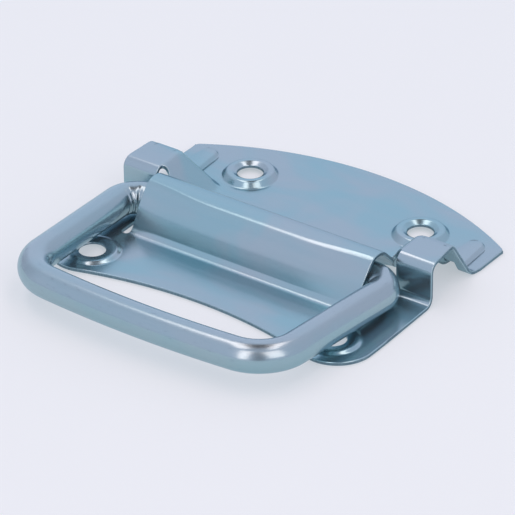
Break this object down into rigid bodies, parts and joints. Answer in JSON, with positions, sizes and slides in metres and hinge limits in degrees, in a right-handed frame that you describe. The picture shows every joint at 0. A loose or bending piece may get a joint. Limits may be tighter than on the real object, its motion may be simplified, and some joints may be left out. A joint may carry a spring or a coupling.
{
  "type": "chest handle",
  "caption": "Folding chest handle: a stamped sheet-steel base plate with a ridge that holds a round-rod bail, and ears that stop the bail when it is raised",
  "frame": {"origin": "On the mounting face, midway between the two screw holes beside the arched edge of the base plate", "axes": "+X along the pivot of the bail, to the right when the arched edge points away; +Y towards the arched edge; +Z away from the chest wall"},
  "size_m": [0.0974, 0.1077, 0.0131],
  "materials": {
    "zinc_sheet": "bright blue-passivated zinc plating on stamped sheet",
    "zinc_rod": "bright blue-passivated zinc plating on bent round rod"
  },
  "bodies": {
    "plate": {"base_plate": "zinc_sheet"},
    "handle": {"bail": "zinc_rod"}
  },
  "joints": [
    {"name": "bail_hinge", "type": "hinge", "parent": "plate", "child": "handle", "pos_m": [0, -0.0316, 0.006], "axis": [-1, 0, 0], "range_deg": [0, 87.3]}
  ]
}
